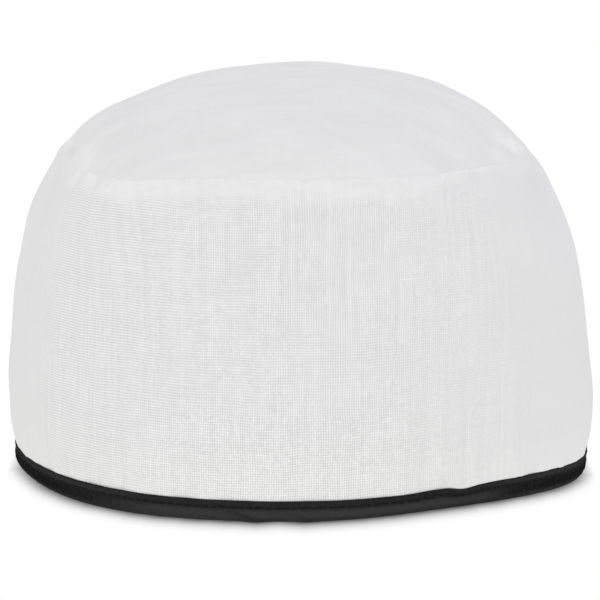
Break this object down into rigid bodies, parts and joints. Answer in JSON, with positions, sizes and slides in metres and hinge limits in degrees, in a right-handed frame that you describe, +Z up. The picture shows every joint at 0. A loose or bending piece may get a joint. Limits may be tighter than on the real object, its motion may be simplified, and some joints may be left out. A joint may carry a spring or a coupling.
{
  "type": "surgical cap",
  "caption": "Tall brimless surgical cap of white plain-weave cloth with an oval crown panel and a dark bound hem, hollow and open below for the head.",
  "frame": {"origin": "centre of the cap's box, on the surface that the hem stands on", "axes": "+Z up through the crown, front towards -Y, the right side as seen from the front towards +X"},
  "size_m": [0.172, 0.193, 0.117],
  "materials": {
    "white_cotton": "matt plain-woven cotton with uneven yarns",
    "black_tape": "black cotton bias tape, folded and topstitched"
  },
  "bodies": {
    "root": {"side_band": "white_cotton", "crown_panel": "white_cotton", "hem_binding": "black_tape"}
  },
  "joints": []
}
